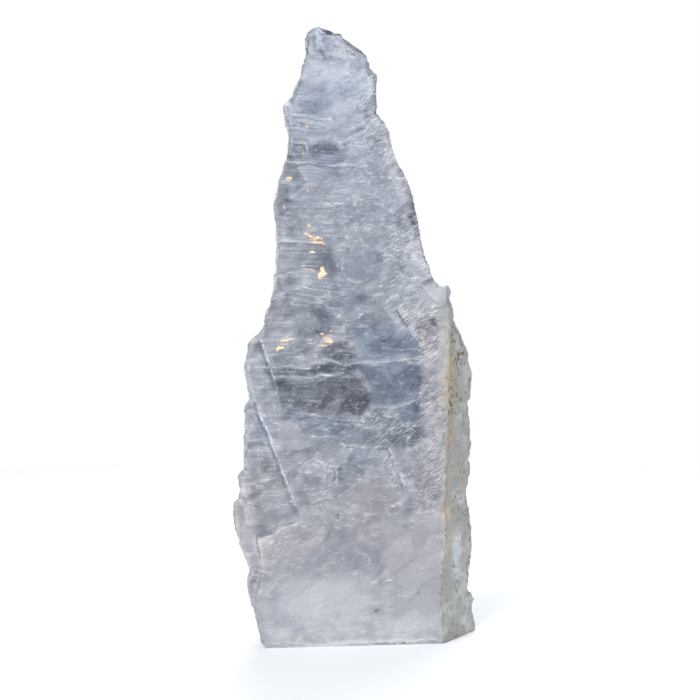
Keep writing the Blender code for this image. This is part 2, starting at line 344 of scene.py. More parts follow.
@dataclass(frozen=True)
class Skin:
    """The blade's surface: points in millimetres, normals, and the share of each kind of face there."""

    points: np.ndarray
    normals: np.ndarray
    front: np.ndarray
    back: np.ndarray
    prism: np.ndarray

    @property
    def broken(self) -> np.ndarray:
        """Return the share of ragged margin at each point."""
        return np.clip(1 - self.front - self.back - self.prism, 0, 1)

    @property
    def facing(self) -> np.ndarray:
        """Return the share that the front's marks have, which run over its rounded edges too."""
        return smooth(0.2, 0.6, -self.normals[:, 1]) * (1 - self.prism)


Value = bpy.types.Node | bpy.types.NodeSocket | float
MIX_A, MIX_B, MIX_OUT = 6, 7, 2  # a Mix node's colour sockets


def add_node(tree: bpy.types.NodeTree, kind: str, inputs: dict | None = None, **settings) -> bpy.types.Node:
    """Add a node with its settings and links.

    Args:
        tree: The node tree it goes in.
        kind: Blender's type name of the node.
        inputs: Input name or index, to a socket or node to link, or a plain value.
        settings: The node's own properties.

    Returns:
        The new node.
    """
    node = tree.nodes.new(kind)
    for name, value in settings.items():
        setattr(node, name, value)
    for name, value in (inputs or {}).items():
        socket = node.inputs[name]
        if isinstance(value, bpy.types.Node):
            tree.links.new(value.outputs[0], socket)
        elif isinstance(value, bpy.types.NodeSocket):
            tree.links.new(value, socket)
        else:
            socket.default_value = value
    return node


def add_up(tree: bpy.types.NodeTree, start: Value, *terms: tuple[Value, Value], clamp: bool = False) -> Value:
    """Add products to a starting value.

    Args:
        tree: The node tree.
        start: The value to start from.
        terms: Pairs of values to multiply and add.
        clamp: Whether the sum is held between 0 and 1.

    Returns:
        The node that gives the sum.
    """
    total = start
    for one, other in terms:
        total = add_node(tree, "ShaderNodeMath", {0: one, 1: other, 2: total}, operation="MULTIPLY_ADD")
    total.use_clamp = clamp
    return total


def paint_over(tree: bpy.types.NodeTree, base: Value, *coats: tuple[Value, str, str]) -> Value:
    """Lay colours over a base.

    Args:
        tree: The node tree.
        base: The colour underneath.
        coats: For each coat its share, its sRGB hex colour and its way of mixing.

    Returns:
        The last coat's colour.
    """
    for share, colour, way in coats:
        mixed = add_node(tree, "ShaderNodeMix", {0: share, MIX_A: base, MIX_B: linear(colour)},
                         data_type="RGBA", blend_type=way)
        base = mixed.outputs[MIX_OUT]
    return base


@dataclass(frozen=True)
class Pattern:
    """A noise stretched to a real size.

    size is the length of one wave along, behind and across, in millimetres. turn is the slope of
    the waves on the front, in degrees down to the right, and detail how many finer waves are
    added. A bent one follows the slow wander of the crystal's fibres.
    """

    size: tuple[float, float, float]
    turn: float = 0.0
    detail: float = 3.0
    bent: bool = True


# Real striae and hairs go down to a few hundredths of a millimetre. Strands, wisps and hairs are
# drawn about half a millimetre wide, so that they still show at arm's length.
PATTERNS = {
    "level": Pattern((22, 30, 0.6), 2.5),  # striae on the left of the front
    "climb": Pattern((3.6, 6, 0.45), -36, 2),  # bristles on the right
    "steep": Pattern((3.0, 6, 0.42), -56, 2),  # scratches across the bristles
    "wisp": Pattern((12, 12, 4), -24),  # traced as curved hairs
    "hair": Pattern((34, 30, 3), 3),  # traced as long level hairs
    "cloud": Pattern((15, 15, 9), -20, 6),  # milky and clearer parts
    "smudge": Pattern((4.5, 6, 3.4), -15, 5),  # small bruises
    "grit": Pattern((0.9, 0.9, 0.9), bent=False),  # finest bruises
    "speck": Pattern((2.2, 2.2, 2.2), bent=False),  # pits and rust
    "jitter": Pattern((1.5, 1.5, 1.5), bent=False),  # makes the cracks waver
    "breaks": Pattern((2.2, 2.2, 2.2), detail=2, bent=False),  # gaps in the cracks
}


@dataclass(frozen=True)
class GypsumFinish:
    """Clear gypsum: a soft, cleaved crystal, milky where it is bruised.

    Its refraction is 1.52. Cleaved faces are silky, and bruised or broken ones scatter light
    like frosted glass, so they read paler than the clear ones. The prism face has a chalky
    crust, stained ochre by iron, with rusty pits.
    """

    ramp: tuple[tuple[float, str], ...] = (
        (0.0, "#6b717d"), (0.25, "#9198a3"), (0.5, "#b0b5bf"), (0.75, "#c5c9d0"), (1.0, "#e1e3e7"))
    cool: str = "#cddced"
    warm: str = "#eadfdd"
    frost: str = "#dde0e4"
    crust: str = "#abaca9"
    fluff: str = "#d6dade"
    ochre: str = "#b89f74"
    rust: str = "#69513a"
    # painted glints: warm light caught by inner cracks, painted as a rim colour and a paler core colour
    painted_glint_core: str = "#ffe0b8"
    painted_glint: str = "#e2b48e"
    ior: float = 1.52
    absorb_colour: str = "#a9b8cc"
    absorb_density: float = 26.0  # per metre
    wander: float = 26.0  # size of the fibres' slow waves
    pull: float = 5.0  # how far those waves bend the patterns
    block: tuple[float, float, float] = (17.0, 20.0, 10.0)  # cleaved blocks of one milkiness
    block_turn: float = -38.0
    relief: float = 0.7

    def material(self) -> bpy.types.Material:
        """Build the material.

        Returns:
            The material, with a see-through surface and plain absorption inside.
        """
        made = bpy.data.materials.new("cleaved_gypsum")
        made.use_nodes = True
        tree = made.node_tree
        tree.nodes.clear()
        masks = {name: add_node(tree, "ShaderNodeAttribute", attribute_name=name).outputs["Fac"]
                 for name in MASKS}
        grains = self.grains(tree)
        lines = self.lines(tree, masks, grains)
        strand = add_node(tree, "ShaderNodeMix", {0: masks["slant"], 2: grains["level"], 3: grains["climb"]},
                          data_type="FLOAT")
        tone = self.tone(tree, masks, grains, strand, lines)
        rough = add_up(tree, 0.24, (tone, 0.2), (masks["crust"], 0.3), (grains["grit"], 0.1), clamp=True)
        clear = add_up(tree, 0.82, (tone, -0.55), (masks["crust"], -0.4), (masks["frost"], -0.2),
                       (lines["main"], -0.5), (lines["painted_glint"], -0.8), clamp=True)
        shader = add_node(tree, "ShaderNodeBsdfPrincipled", {
            "Base Color": self.colour(tree, masks, grains, lines, tone),
            "IOR": self.ior,
            "Roughness": rough,
            "Transmission Weight": clear,
            "Normal": self.bump(tree, masks, grains, strand, lines),
        })
        inside = add_node(tree, "ShaderNodeVolumeAbsorption", {
            "Color": linear(self.absorb_colour), "Density": self.absorb_density})
        add_node(tree, "ShaderNodeOutputMaterial", {"Surface": shader, "Volume": inside})
        return made

    def grains(self, tree: bpy.types.NodeTree) -> dict[str, Value]:
        """Add the crystal's patterns.

        Args:
            tree: The material's nodes.

        Returns:
            Each of PATTERNS by its name, and the cleaved blocks as block.
        """
        place = add_node(tree, "ShaderNodeTexCoord").outputs["Object"]
        wander = add_node(tree, "ShaderNodeTexNoise", {
            "Vector": place, "Scale": 1 / mm(self.wander), "Detail": 2.0})
        pull = add_node(tree, "ShaderNodeVectorMath", {0: wander.outputs["Color"], 1: (-0.5, -0.5, -0.5)},
                        operation="ADD")
        bent = add_node(tree, "ShaderNodeVectorMath", {0: pull, 1: (mm(self.pull),) * 3, 2: place},
                        operation="MULTIPLY_ADD")
        turned = self.turned(tree, bent, self.block, self.block_turn)
        block = add_node(tree, "ShaderNodeTexVoronoi", {"Vector": turned, "Scale": 1.0}, distance="CHEBYCHEV")
        grains = {"block": add_node(tree, "ShaderNodeSeparateColor", {"Color": block.outputs["Color"]})}
        for name, pattern in PATTERNS.items():
            turned = self.turned(tree, bent if pattern.bent else place, pattern.size, pattern.turn)
            grains[name] = add_node(tree, "ShaderNodeTexNoise", {
                "Vector": turned, "Scale": 1.0, "Detail": pattern.detail, "Roughness": 0.62})
        return grains

    def turned(self, tree: bpy.types.NodeTree, place: Value, size: tuple[float, float, float],
               turn: float) -> bpy.types.Node:
        """Stretch coordinates to a size in millimetres and turn them on the front, in degrees."""
        return add_node(tree, "ShaderNodeMapping", {
            "Vector": place, "Rotation": (0, math.radians(turn), 0),
            "Scale": tuple(mm(side) for side in size)}, vector_type="TEXTURE")

    def lines(self, tree: bpy.types.NodeTree, masks: dict[str, Value], grains: dict[str, Value]
              ) -> dict[str, Value]:
        """Turn the distances to the cracks into thin broken lines, and trace the hairs.

        Args:
            tree: The material's nodes.
            masks: The mesh's masks by name.
            grains: The patterns by name.

        Returns:
            A share from 0 to 1 for each layer, for the shade below the main lines, and for the
            wisps and hairs.
        """
        found = {}
        # half a line's width: none in the gaps, and up to about a millimetre
        width = add_up(tree, -0.6, (grains["breaks"], 1.9))
        broad = add_up(tree, 0.25, (width, 1.0))
        gate = add_node(tree, "ShaderNodeMapRange", {
            "Value": grains["smudge"], "From Min": 0.38, "From Max": 0.62, "To Min": 0.25})
        for layer in Layer:
            # the painted glints of warm light are drawn broader and without gaps
            painted_glint = layer is Layer.PAINTED_GLINT
            # the jitter is 0.5 on average, so a crack wavers about its own place
            shift = add_up(tree, masks[f"{layer.value}_off"], (grains["jitter"], 2.4), (1.0, -1.2))
            away = add_node(tree, "ShaderNodeMath", {0: shift}, operation="ABSOLUTE")
            line = add_node(tree, "ShaderNodeMapRange", {
                "Value": away, "From Min": broad if painted_glint else width, "From Max": 0.0})
            drawn = add_node(tree, "ShaderNodeMath", {0: line, 1: 1.3 if painted_glint else gate},
                             operation="MULTIPLY")
            found[layer.value] = add_node(tree, "ShaderNodeMath", {
                0: drawn, 1: masks[f"{layer.value}_on"]}, operation="MULTIPLY", use_clamp=True)
        below = add_up(tree, masks["main_off"], (grains["jitter"], 2.0), (1.0, 0.0))  # a millimetre lower
        away = add_node(tree, "ShaderNodeMath", {0: below}, operation="ABSOLUTE")
        shade = add_node(tree, "ShaderNodeMapRange", {"Value": away, "From Min": 0.9, "From Max": 0.1})
        found["shade"] = add_node(tree, "ShaderNodeMath", {0: shade, 1: masks["main_on"]},
                                  operation="MULTIPLY", use_clamp=True)
        gaps = add_node(tree, "ShaderNodeMapRange", {
            "Value": grains["smudge"], "From Min": 0.44, "From Max": 0.54})
        for name, thin in (("wisp", 0.011), ("hair", 0.018)):
            middle = add_node(tree, "ShaderNodeMath", {0: grains[name], 1: 0.5}, operation="SUBTRACT")
            near = add_node(tree, "ShaderNodeMath", {0: middle}, operation="ABSOLUTE")
            traced = add_node(tree, "ShaderNodeMapRange", {"Value": near, "From Min": thin, "From Max": 0.0})
            found[name] = add_node(tree, "ShaderNodeMath", {0: traced, 1: gaps}, operation="MULTIPLY")
        return found

    def tone(self, tree: bpy.types.NodeTree, masks: dict[str, Value], grains: dict[str, Value],
             strand: Value, lines: dict[str, Value]) -> Value:
        """Say how milky the crystal is.

        Args:
            tree: The material's nodes.
            masks: The mesh's masks by name.
            grains: The patterns by name.
            strand: The striae on the left and the bristles on the right, as one pattern.
            lines: The cracks, their shade and the hairs.

        Returns:
            0 in its clearest windows, 1 where it is bruised white.
        """
        ruffle = add_up(tree, 1.0, (masks["calm"], -0.75))
        strokes = 0.0
        for wave, start, full, weight in ((strand, 0.53, 0.64, 0.38), (strand, 0.45, 0.36, -0.22),
                                          (grains["steep"], 0.58, 0.66, 0.22)):
            stroke = add_node(tree, "ShaderNodeMapRange", {
                "Value": wave, "From Min": start, "From Max": full})
            strokes = add_up(tree, strokes, (stroke, weight))
        clumps = add_node(tree, "ShaderNodeMapRange", {
            "Value": grains["cloud"], "From Min": 0.40, "From Max": 0.58, "To Min": 0.1, "To Max": 0.5})
        frosted = add_up(tree, clumps, (masks["frost"], 0.95))
        drawn = add_node(tree, "ShaderNodeMath", {0: strokes, 1: frosted}, operation="MULTIPLY")
        # the patterns are 0.5 on average, so these waves add nothing on the whole
        waves = add_up(tree, -0.8, (grains["cloud"], 0.52), (grains["block"], 0.25),
                       (grains["grit"], 0.35), (grains["smudge"], 0.48))
        waves = add_up(tree, drawn, (waves, 1.0), (lines["wisp"], 0.5), (lines["hair"], 0.45))
        # the edge mask paints ridges lighter and hollows darker: painted highlight and painted shade
        return add_up(tree, masks["tone"], (waves, ruffle), (masks["edge"], 0.1),
                      (lines["shade"], -0.16), (lines["fine"], 0.3), (lines["main"], 0.25), clamp=True)

    def colour(self, tree: bpy.types.NodeTree, masks: dict[str, Value], grains: dict[str, Value],
               lines: dict[str, Value], tone: Value) -> Value:
        """Lay the colours over each other, from the crystal's body to the painted glints of warm light.

        Args:
            tree: The material's nodes.
            masks: The mesh's masks by name.
            grains: The patterns by name.
            lines: The cracks, their shade and the hairs.
            tone: How milky the crystal is.

        Returns:
            The surface's colour.
        """
        body = add_node(tree, "ShaderNodeValToRGB", {0: tone})
        stops = body.color_ramp.elements
        for place, colour in self.ramp[1:-1]:
            stops.new(place).color = linear(colour)
        stops[0].color = linear(self.ramp[0][1])
        stops[-1].color = linear(self.ramp[-1][1])
        stain = add_node(tree, "ShaderNodeMapRange", {
            "Value": grains["cloud"], "From Min": 0.36, "From Max": 0.6, "To Min": 0.1})
        stained = add_node(tree, "ShaderNodeMath", {0: stain, 1: masks["ochre"]}, operation="MULTIPLY")
        pale = add_node(tree, "ShaderNodeMapRange", {
            "Value": grains["cloud"], "From Min": 0.5, "From Max": 0.62, "To Max": 0.45})
        paled = add_up(tree, masks["fluff"], (pale, masks["crust"]), clamp=True)
        dense = add_up(tree, 0.68, (masks["rust"], -0.17))
        spots = add_node(tree, "ShaderNodeMapRange", {
            "Value": grains["speck"], "From Min": dense, "From Max": add_up(tree, 0.06, (dense, 1.0))})
        dirty = add_node(tree, "ShaderNodeMath", {0: spots, 1: masks["rust"]}, operation="MULTIPLY")
        whitened = add_node(tree, "ShaderNodeMath", {0: lines["main"], 1: 0.65}, operation="MULTIPLY")
        # the painted glints of warm light: a rim colour with a paler core over it
        rim = add_node(tree, "ShaderNodeMath", {0: lines["painted_glint"], 1: 1.6},
                       operation="MULTIPLY", use_clamp=True)
        core = add_up(tree, -0.35, (lines["painted_glint"], 1.4), clamp=True)
        return paint_over(
            tree, body.outputs["Color"],
            (masks["cool"], self.cool, "MULTIPLY"),
            (masks["warm"], self.warm, "MULTIPLY"),
            (masks["crust"], self.crust, "MIX"),
            (paled, self.fluff, "MIX"),
            (stained, self.ochre, "MIX"),
            (dirty, self.rust, "MIX"),
            (whitened, self.frost, "MIX"),
            (rim, self.painted_glint, "MIX"),
            (core, self.painted_glint_core, "MIX"))

    def bump(self, tree: bpy.types.NodeTree, masks: dict[str, Value], grains: dict[str, Value],
             strand: Value, lines: dict[str, Value]) -> Value:
        """Add the fine relief that is below the mesh's own size.

        Args:
            tree: The material's nodes.
            masks: The mesh's masks by name.
            grains: The patterns by name.
            strand: The striae on the left and the bristles on the right, as one pattern.
            lines: The cracks, their shade and the hairs.

        Returns:
            The node that gives the bumped normal.
        """
        laid = add_node(tree, "ShaderNodeMath", {0: strand, 1: add_up(tree, 0.10, (masks["frost"], 0.5))},
                        operation="MULTIPLY")
        height = add_up(tree, laid, (grains["steep"], 0.1), (grains["grit"], 0.1), (grains["smudge"], 0.15),
                        (grains["speck"], masks["crust"]), (lines["main"], 0.2), (lines["shade"], -0.3),
                        (lines["wisp"], 0.2))
        return add_node(tree, "ShaderNodeBump", {
            "Height": height, "Strength": 1.0, "Distance": mm(self.relief)})


@dataclass
class SeleniteBlade:
    """The slab itself: a fine mesh of the solid's form, with relief and its dressing."""

    name: str = "selenite_blade"
    finish: GypsumFinish = field(default_factory=GypsumFinish)
    voxel: float = 0.875  # keeps the mesh just under 200,000 triangles
    seed: int = 11
    arris_x: float = 32.0  # where the front's plane meets the prism face
    streak_relief: float = 0.15  # level striae
    hatch_relief: float = 0.06  # climbing striae
    frost_relief: float = 0.12  # bristles in the frosted parts
    wall_relief: float = 1.1  # blocks and chips of the broken margins
    crust_relief: float = 1.2  # lumps and pits of the prism face
    crown_relief: float = 0.6
    body_tone: float = 0.515  # from 0, clear, to 1, milky
    upper_step: float = 5.6  # how far back a leaf may lie and still be brought flush
    lower_step: float = 3.0
    easing: int = 8  # passes that even out the joined leaves
    regions: tuple[Facet | Patch, ...] = ()
    cracks: dict[Layer, tuple[Crack, ...]] = field(default_factory=dict)

    def build(self) -> bpy.types.Object:
        """Build the blade and dress it.

        Returns:
            The finished object.
        """
        blade = self.remeshed(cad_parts[NODE])
        self.join_leaves(blade.data)
        masks = self.dressing(blade.data)
        self.carve(blade.data, masks["frost"])
        self.mark(blade.data, masks)
        blade.data.materials.clear()
        blade.data.materials.append(self.finish.material())
        blade.data.shade_smooth()
        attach(blade, "root")
        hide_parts(NODE)
        blade.data.calc_loop_triangles()
        log.info("%s: %d triangles", blade.name, len(blade.data.loop_triangles))
        return blade

    def remeshed(self, solid: bpy.types.Object) -> bpy.types.Object:
        """Copy the solid's merged surface and lay an even mesh over it.

        Args:
            solid: The node of the CAD part.

        Returns:
            The blade's object, still without relief.
        """
        mesh = solid.data.copy()
        body = bmesh.new()
        body.from_mesh(mesh)
        bmesh.ops.remove_doubles(body, verts=body.verts, dist=mm(0.002))
        body.to_mesh(mesh)
        body.free()
        blade = bpy.data.objects.new(self.name, mesh)
        bpy.context.scene.collection.objects.link(blade)
        even = blade.modifiers.new("even", "REMESH")
        even.mode = "VOXEL"
        even.voxel_size = mm(self.voxel)
        depsgraph = bpy.context.evaluated_depsgraph_get()
        blade.data = bpy.data.meshes.new_from_object(blade.evaluated_get(depsgraph))
        blade.data.name = self.name
        blade.modifiers.clear()
        return blade

    def join_leaves(self, mesh: bpy.types.Mesh) -> None:
        """Bring the thin leaves at the upper margins and the lower left flush with the front plane.

        Args:
            mesh: The blade's mesh, which is changed.
        """
        points, _ = self.surface(mesh)
        links = self.links(mesh)
        x, y, z = points.T
        deep = y - FRONT_Y
        upper = np.where(x < -20, smooth(145, 153, z), smooth(174, 182, z))  # from the shoulders up
        lower = smooth(30, 25, z) * (x < -20)
        reach = self.upper_step * upper + self.lower_step * lower
        flush = smooth(reach + 1.2, reach, deep) * (reach > 0.3)
        plane = smooth(234, 240, z)  # the crown's leaf stays a millimetre back
        steps = (deep > plane + 0.1) & (deep < 4.7) & (z > 4) & (x < -35)
        eased = around(steps.astype(float), links) > 0
        points[:, 1] -= np.maximum(deep - plane, 0) * flush
        for _ in range(self.easing):
            middle = np.stack([around(side, links) for side in points.T], axis=1)
            points[eased] += 0.5 * (middle - points)[eased]
        mesh.vertices.foreach_set("co", (points * 0.001).ravel())
        mesh.update()

    def links(self, mesh: bpy.types.Mesh) -> tuple[np.ndarray, np.ndarray]:
        """List the mesh's edges, taking every edge both ways.

        Args:
            mesh: The blade's mesh.

        Returns:
            The points that the edges start from, and those that they end at.
        """
        ends = np.empty(len(mesh.edges) * 2, dtype=np.int64)
        mesh.edges.foreach_get("vertices", ends)
        first, second = ends.reshape(-1, 2).T
        return np.concatenate((first, second)), np.concatenate((second, first))

    def surface(self, mesh: bpy.types.Mesh) -> tuple[np.ndarray, np.ndarray]:
        """Read the mesh's surface.

        Args:
            mesh: The blade's mesh.

        Returns:
            The points, in millimetres, and their normals.
        """
        count = len(mesh.vertices)
        points = np.empty(count * 3)
        normals = np.empty(count * 3)
        mesh.vertices.foreach_get("co", points)
        mesh.vertex_normals.foreach_get("vector", normals)
        return points.reshape(-1, 3) * 1000, normals.reshape(-1, 3)

    def skin(self, mesh: bpy.types.Mesh) -> Skin:
        """Read the mesh's surface and tell its kinds of face apart.

        Args:
            mesh: The blade's mesh.

        Returns:
            The surface, with each kind of face as a share from 0 to 1.
        """
        points, normals = self.surface(mesh)
        turn = math.radians(PRISM_TURN)
        off_plane = (points[:, 0] - self.arris_x) * math.sin(turn) - (points[:, 1] - FRONT_Y) * math.cos(turn)
        facing = normals[:, 0] * math.sin(turn) - normals[:, 1] * math.cos(turn)
        prism = smooth(-3.6, -2.2, off_plane) * smooth(0.45, 0.8, facing) * smooth(168, 160, points[:, 2])
        front = smooth(0.75, 0.9, -normals[:, 1]) * (1 - prism)
        back = smooth(0.75, 0.9, normals[:, 1])
        return Skin(points, normals, front, back, prism)

    def carve(self, mesh: bpy.types.Mesh, frost: np.ndarray) -> None:
        """Work the relief into the mesh, and keep it inside the solid's box.

        Args:
            mesh: The blade's mesh.
            frost: How frosted each point is, because bristles stand up there.
        """
        skin = self.skin(mesh)
        x, y, z = skin.points.T
        up = skin.normals[:, 2]
        grain = Grain(self.seed)
        cut = (skin.front + skin.back) * self.strands(grain, skin.points, frost)
        # the margins break into blocks and chips with ragged edges
        ragged_x = x + 1.5 * grain.at(x / 5, y / 5, z / 5)
        ragged_z = z + 1.5 * grain.at(x / 5 + 7, y / 5, z / 5 + 3)
        block = grain.lumps(ragged_x / 7, y / 4, ragged_z / 7)[1]
        chip = grain.lumps(ragged_x / 2.8 + 5, y / 2.4, ragged_z / 2.8 + 9)[1]
        cut += skin.broken * self.wall_relief * (0.45 + 0.45 * block + 0.3 * chip)
        lump = grain.lumps(ragged_x / 5 + 20, y / 5, ragged_z / 8 + 2)[1]
        cut += smooth(277, 286, z) * self.crown_relief * (0.6 + 0.6 * lump + 0.4 * chip)
        cut += skin.prism * self.crust_relief * self.pitted(grain, skin.points)
        # a main crack can be a step, which climbs back over some seven millimetres
        for crack in self.cracks[Layer.MAIN]:
            signed, fade = crack.read(ragged_x, ragged_z)
            fall = smooth(0.5, -0.5, signed) * np.exp(-np.abs(signed) / 7)
            cut += skin.front * crack.drop * fade * fall
        cut *= np.where(z < 0.6, smooth(0.95, 0.6, -up), 1.0)  # the sawn foot stays flat
        cut *= 1 - 0.8 * smooth(278, 288, z) * smooth(0.2, 0.6, up)  # the crown keeps its height
        points = skin.points - skin.normals * cut[:, None]
        points[(up < -0.9) & (points[:, 2] < 1.0), 2] = 0.0
        low, high = (np.array(corner) * 1000 for corner in CAD_BOX)
        points = np.clip(points, low, high)
        mesh.vertices.foreach_set("co", (points * 0.001).ravel())
        mesh.update()

    def strands(self, grain: Grain, points: np.ndarray, frost: np.ndarray) -> np.ndarray:
        """Work out the level striae on the left and the climbing ones on the right.

        Args:
            grain: The noise.
            points: The blade's points, in millimetres.
            frost: How frosted each point is.

        Returns:
            Their depth, in millimetres.
        """
        x, y, z = points.T
        slant = self.slant(x, z)
        level = grain.rough(x / 46, y / 9, (z + 0.05 * x) / 2.4)
        climb = (x + z) / math.sqrt(2)
        across = (z - x) / math.sqrt(2)
        diagonal = grain.rough(climb / 6 + 31, y / 9, across / 1.6 + 13)
        depth = self.streak_relief * (1 - slant) * (0.5 + 0.5 * level)
        return depth + (self.hatch_relief * slant + self.frost_relief * frost) * (0.5 + 0.5 * diagonal)

    def pitted(self, grain: Grain, points: np.ndarray) -> np.ndarray:
        """Work out the prism face's lumps, pits and grit.

        Args:
            grain: The noise.
            points: The blade's points, in millimetres.

        Returns:
            Their depth, as a share of the crust's relief.
        """
        x, y, z = points.T
        bump = grain.lumps(x / 5, y / 5, z / 6.5 + 41)[0]
        pits = smooth(0.42, 0.18, grain.lumps(x / 4.2 + 3, y / 4.2, z / 4.2 + 7)[0])
        pits *= smooth(-0.1, 0.4, grain.at(x / 9, y / 9, z / 12 + 5))
        fine = grain.rough(x / 1.9 + 7, y / 1.9, z / 2.4 + 3, 2)
        return 0.7 * bump + 0.9 * pits + 0.22 * fine

    def slant(self, x: np.ndarray, z: np.ndarray) -> np.ndarray:
        """Return 0 where the face is streaked level and 1 where it is hatched upwards."""
        return smooth(-7, 7, x - along(STREAKED, z))

    def standing(self, mesh: bpy.types.Mesh, points: np.ndarray, normals: np.ndarray) -> np.ndarray:
        """Find the edges and hollows.

        Args:
            mesh: The blade's mesh, for its edges.
            points: Its points, in millimetres.
            normals: Their normals.

        Returns:
            How far each point stands out from those around it, in millimetres.
        """
        links = self.links(mesh)
        middle = np.stack([around(side, links) for side in points.T], axis=1)
        out = np.einsum("ij,ij->i", points - middle, normals)
        return 0.5 * (out + around(out, links))

    def dressing(self, mesh: bpy.types.Mesh) -> dict[str, np.ndarray]:
        """Work out the masks that place the finish's patterns, one value at each point.

        Args:
            mesh: The blade's mesh, before its relief.

        Returns:
            By mask name, a value for each point.
        """
        skin = self.skin(mesh)
        grain = Grain(self.seed + 1)
        x, y, z = skin.points.T
        # no edge or crack runs quite straight
        near_x = x + 0.6 * grain.at(x / 4, y / 4, z / 4)
        near_x += 0.35 * grain.at(x / 1.7, y / 2, z / 1.7)
        near_z = z + 0.6 * grain.at(x / 4 + 3, y / 4, z / 4 + 8)
        near_z += 0.35 * grain.at(x / 1.7, y / 2 + 9, z / 1.7)
        wide_x = near_x + 1.6 * grain.at(x / 9, y / 9, z / 9 + 5)
        wide_z = near_z + 1.2 * grain.at(x / 9, y / 9 + 5, z / 9)
        masks = self.body(skin, grain)
        for region in self.regions:
            share = region.share(wide_x, wide_z) * skin.facing
            for name in TINTS:
                masks[name] = masks[name] + share * getattr(region.tint, name)
        self.stain(masks, skin, grain)
        for layer, cracks in self.cracks.items():
            self.trace(masks, skin, layer, [(crack, *crack.read(near_x, near_z)) for crack in cracks])
        for name in TINTS[1:]:
            masks[name] = np.clip(masks[name], 0, 1)
        return masks

    def body(self, skin: Skin, grain: Grain) -> dict[str, np.ndarray]:
        """Start the masks with the run of tones from the foot to the crown and round the walls.

        Args:
            skin: The blade's surface.
            grain: The noise.

        Returns:
            The masks so far, by name.
        """
        x, y, z = skin.points.T
        deep = y - FRONT_Y
        crown = smooth(279, 285, z)
        # broken walls are bruised pale, most of all at the right and towards the top
        walls = skin.broken * smooth(3.0, 8.0, deep)
        pale = 0.14 + 0.26 * np.maximum(smooth(-40, 0, x), smooth(150, 175, z))
        ledges = skin.broken * ((x < -35) & (deep < 4.6)) * smooth(55, 75, z)
        tone = self.body_tone - 0.12 * smooth(120, 200, z) + 0.08 * smooth(40, 10, z)
        tone += crown * (0.18 * grain.rough(x / 2.6, y / 6, z / 9) - 0.15)
        tone += walls * (pale + 0.10 * grain.rough(x / 6, y / 6, z / 6)) + 0.2 * ledges
        return {"tone": tone, "cool": np.zeros(len(x)), "calm": 0.35 * smooth(66, 48, z) * skin.facing,
                "warm": 0.12 + 0.2 * crown + 0.4 * smooth(110, 60, z) * smooth(0, 40, z),
                "frost": 0.6 * walls, "slant": self.slant(x, z), "crust": skin.prism}

    def stain(self, masks: dict[str, np.ndarray], skin: Skin, grain: Grain) -> None:
        """Lay the ochre, the white fluff and the rust by the right arris, and frost a band beside it.

        Args:
            masks: The masks so far, which are added to.
            skin: The blade's surface.
            grain: The noise that roughens the stains.
        """
        x, y, z = skin.points.T
        arris = along(ARRIS, z)
        wave = grain.at(x / 9, y / 9, z / 9) + 0.6 * grain.at(x / 3, y / 3, z / 4)
        reach = np.abs(x - arris - 1.2 + 1.8 * wave) / along(OCHRE_REACH, z)
        # iron colours a narrow run at the arris and veils the rest of the prism face thinly
        veil = 0.2 * smooth(-0.2, 0.5, grain.at(x / 12, y / 12, z / 20 + 8)) * smooth(20, 60, z)
        veil *= smooth(155, 140, z)
        side = np.maximum(skin.prism, 0.6 * smooth(2.4, 0.6, np.abs(x - arris)) * skin.facing)
        masks["ochre"] = np.clip(smooth(1.6, 0.2, reach) * along(OCHRE_DEPTH, z) + veil, 0, 1) * side
        masks["fluff"] = smooth(1.2, 0.4, np.hypot((x - 41) / 4, (z - 42) / 15)) * skin.prism * 0.6
        masks["rust"] = along(RUSTED, z) * skin.prism * smooth(-0.6, 0.3, grain.at(x / 5 + 3, y / 5, z / 9))
        # rusty flecks in the clear window too
        masks["rust"] += 0.9 * smooth(1.1, 0.5, np.hypot((x - 17) / 6, (z - 125.5) / 3.5)) * skin.facing
        band = smooth(13, 3, np.abs(x - arris + 4)) * smooth(52, 85, z) * smooth(166, 150, z) * skin.facing
        for name, weight in (("frost", 0.9), ("tone", 0.08), ("warm", 0.7)):
            masks[name] = masks[name] + weight * band

    def trace(self, masks: dict[str, np.ndarray], skin: Skin, layer: Layer,
              reads: list[tuple[Crack, np.ndarray, np.ndarray]]) -> None:
        """Write how far each point is from a layer's nearest crack, and frost the cracks' sides.

        Args:
            masks: The masks so far, which are added to.
            skin: The blade's surface.
            layer: The set of lines.
            reads: Each crack with its signed distance and its fade at every point.
        """
        off, on = np.full(len(skin.points), 8.0), np.zeros(len(skin.points))
        best = np.full(len(skin.points), 1e6)
        for crack, signed, fade in reads:
            away = np.abs(signed)
            nearer = away < best
            best = np.where(nearer, away, best)
            off = np.where(nearer, np.clip(signed, -8, 8), off)
            on = np.where(nearer, fade * crack.strength * smooth(3.0, 1.8, away), on)
            feather = crack.bloom * fade * np.exp(-away / 2.5) * skin.facing
            masks["frost"] = masks["frost"] + feather
            masks["tone"] = masks["tone"] + 0.12 * feather
        masks[f"{layer.value}_off"] = off
        masks[f"{layer.value}_on"] = on * skin.facing

    def mark(self, mesh: bpy.types.Mesh, masks: dict[str, np.ndarray]) -> None:
        """Write the masks onto the mesh, with one for the edges that its relief gives it, which paints ridges
        lighter and hollows darker as painted highlight and painted shade.

        Args:
            mesh: The blade's mesh, after its relief.
            masks: By mask name, a value for each point.
        """
        # painted highlight on ridges and painted shade in hollows
        masks["edge"] = np.clip(4 * self.standing(mesh, *self.surface(mesh)), -1, 1)
        for name in MASKS:
            layer = mesh.attributes.new(name, "FLOAT", "POINT")
            layer.data.foreach_set("value", masks[name].astype(np.float32))


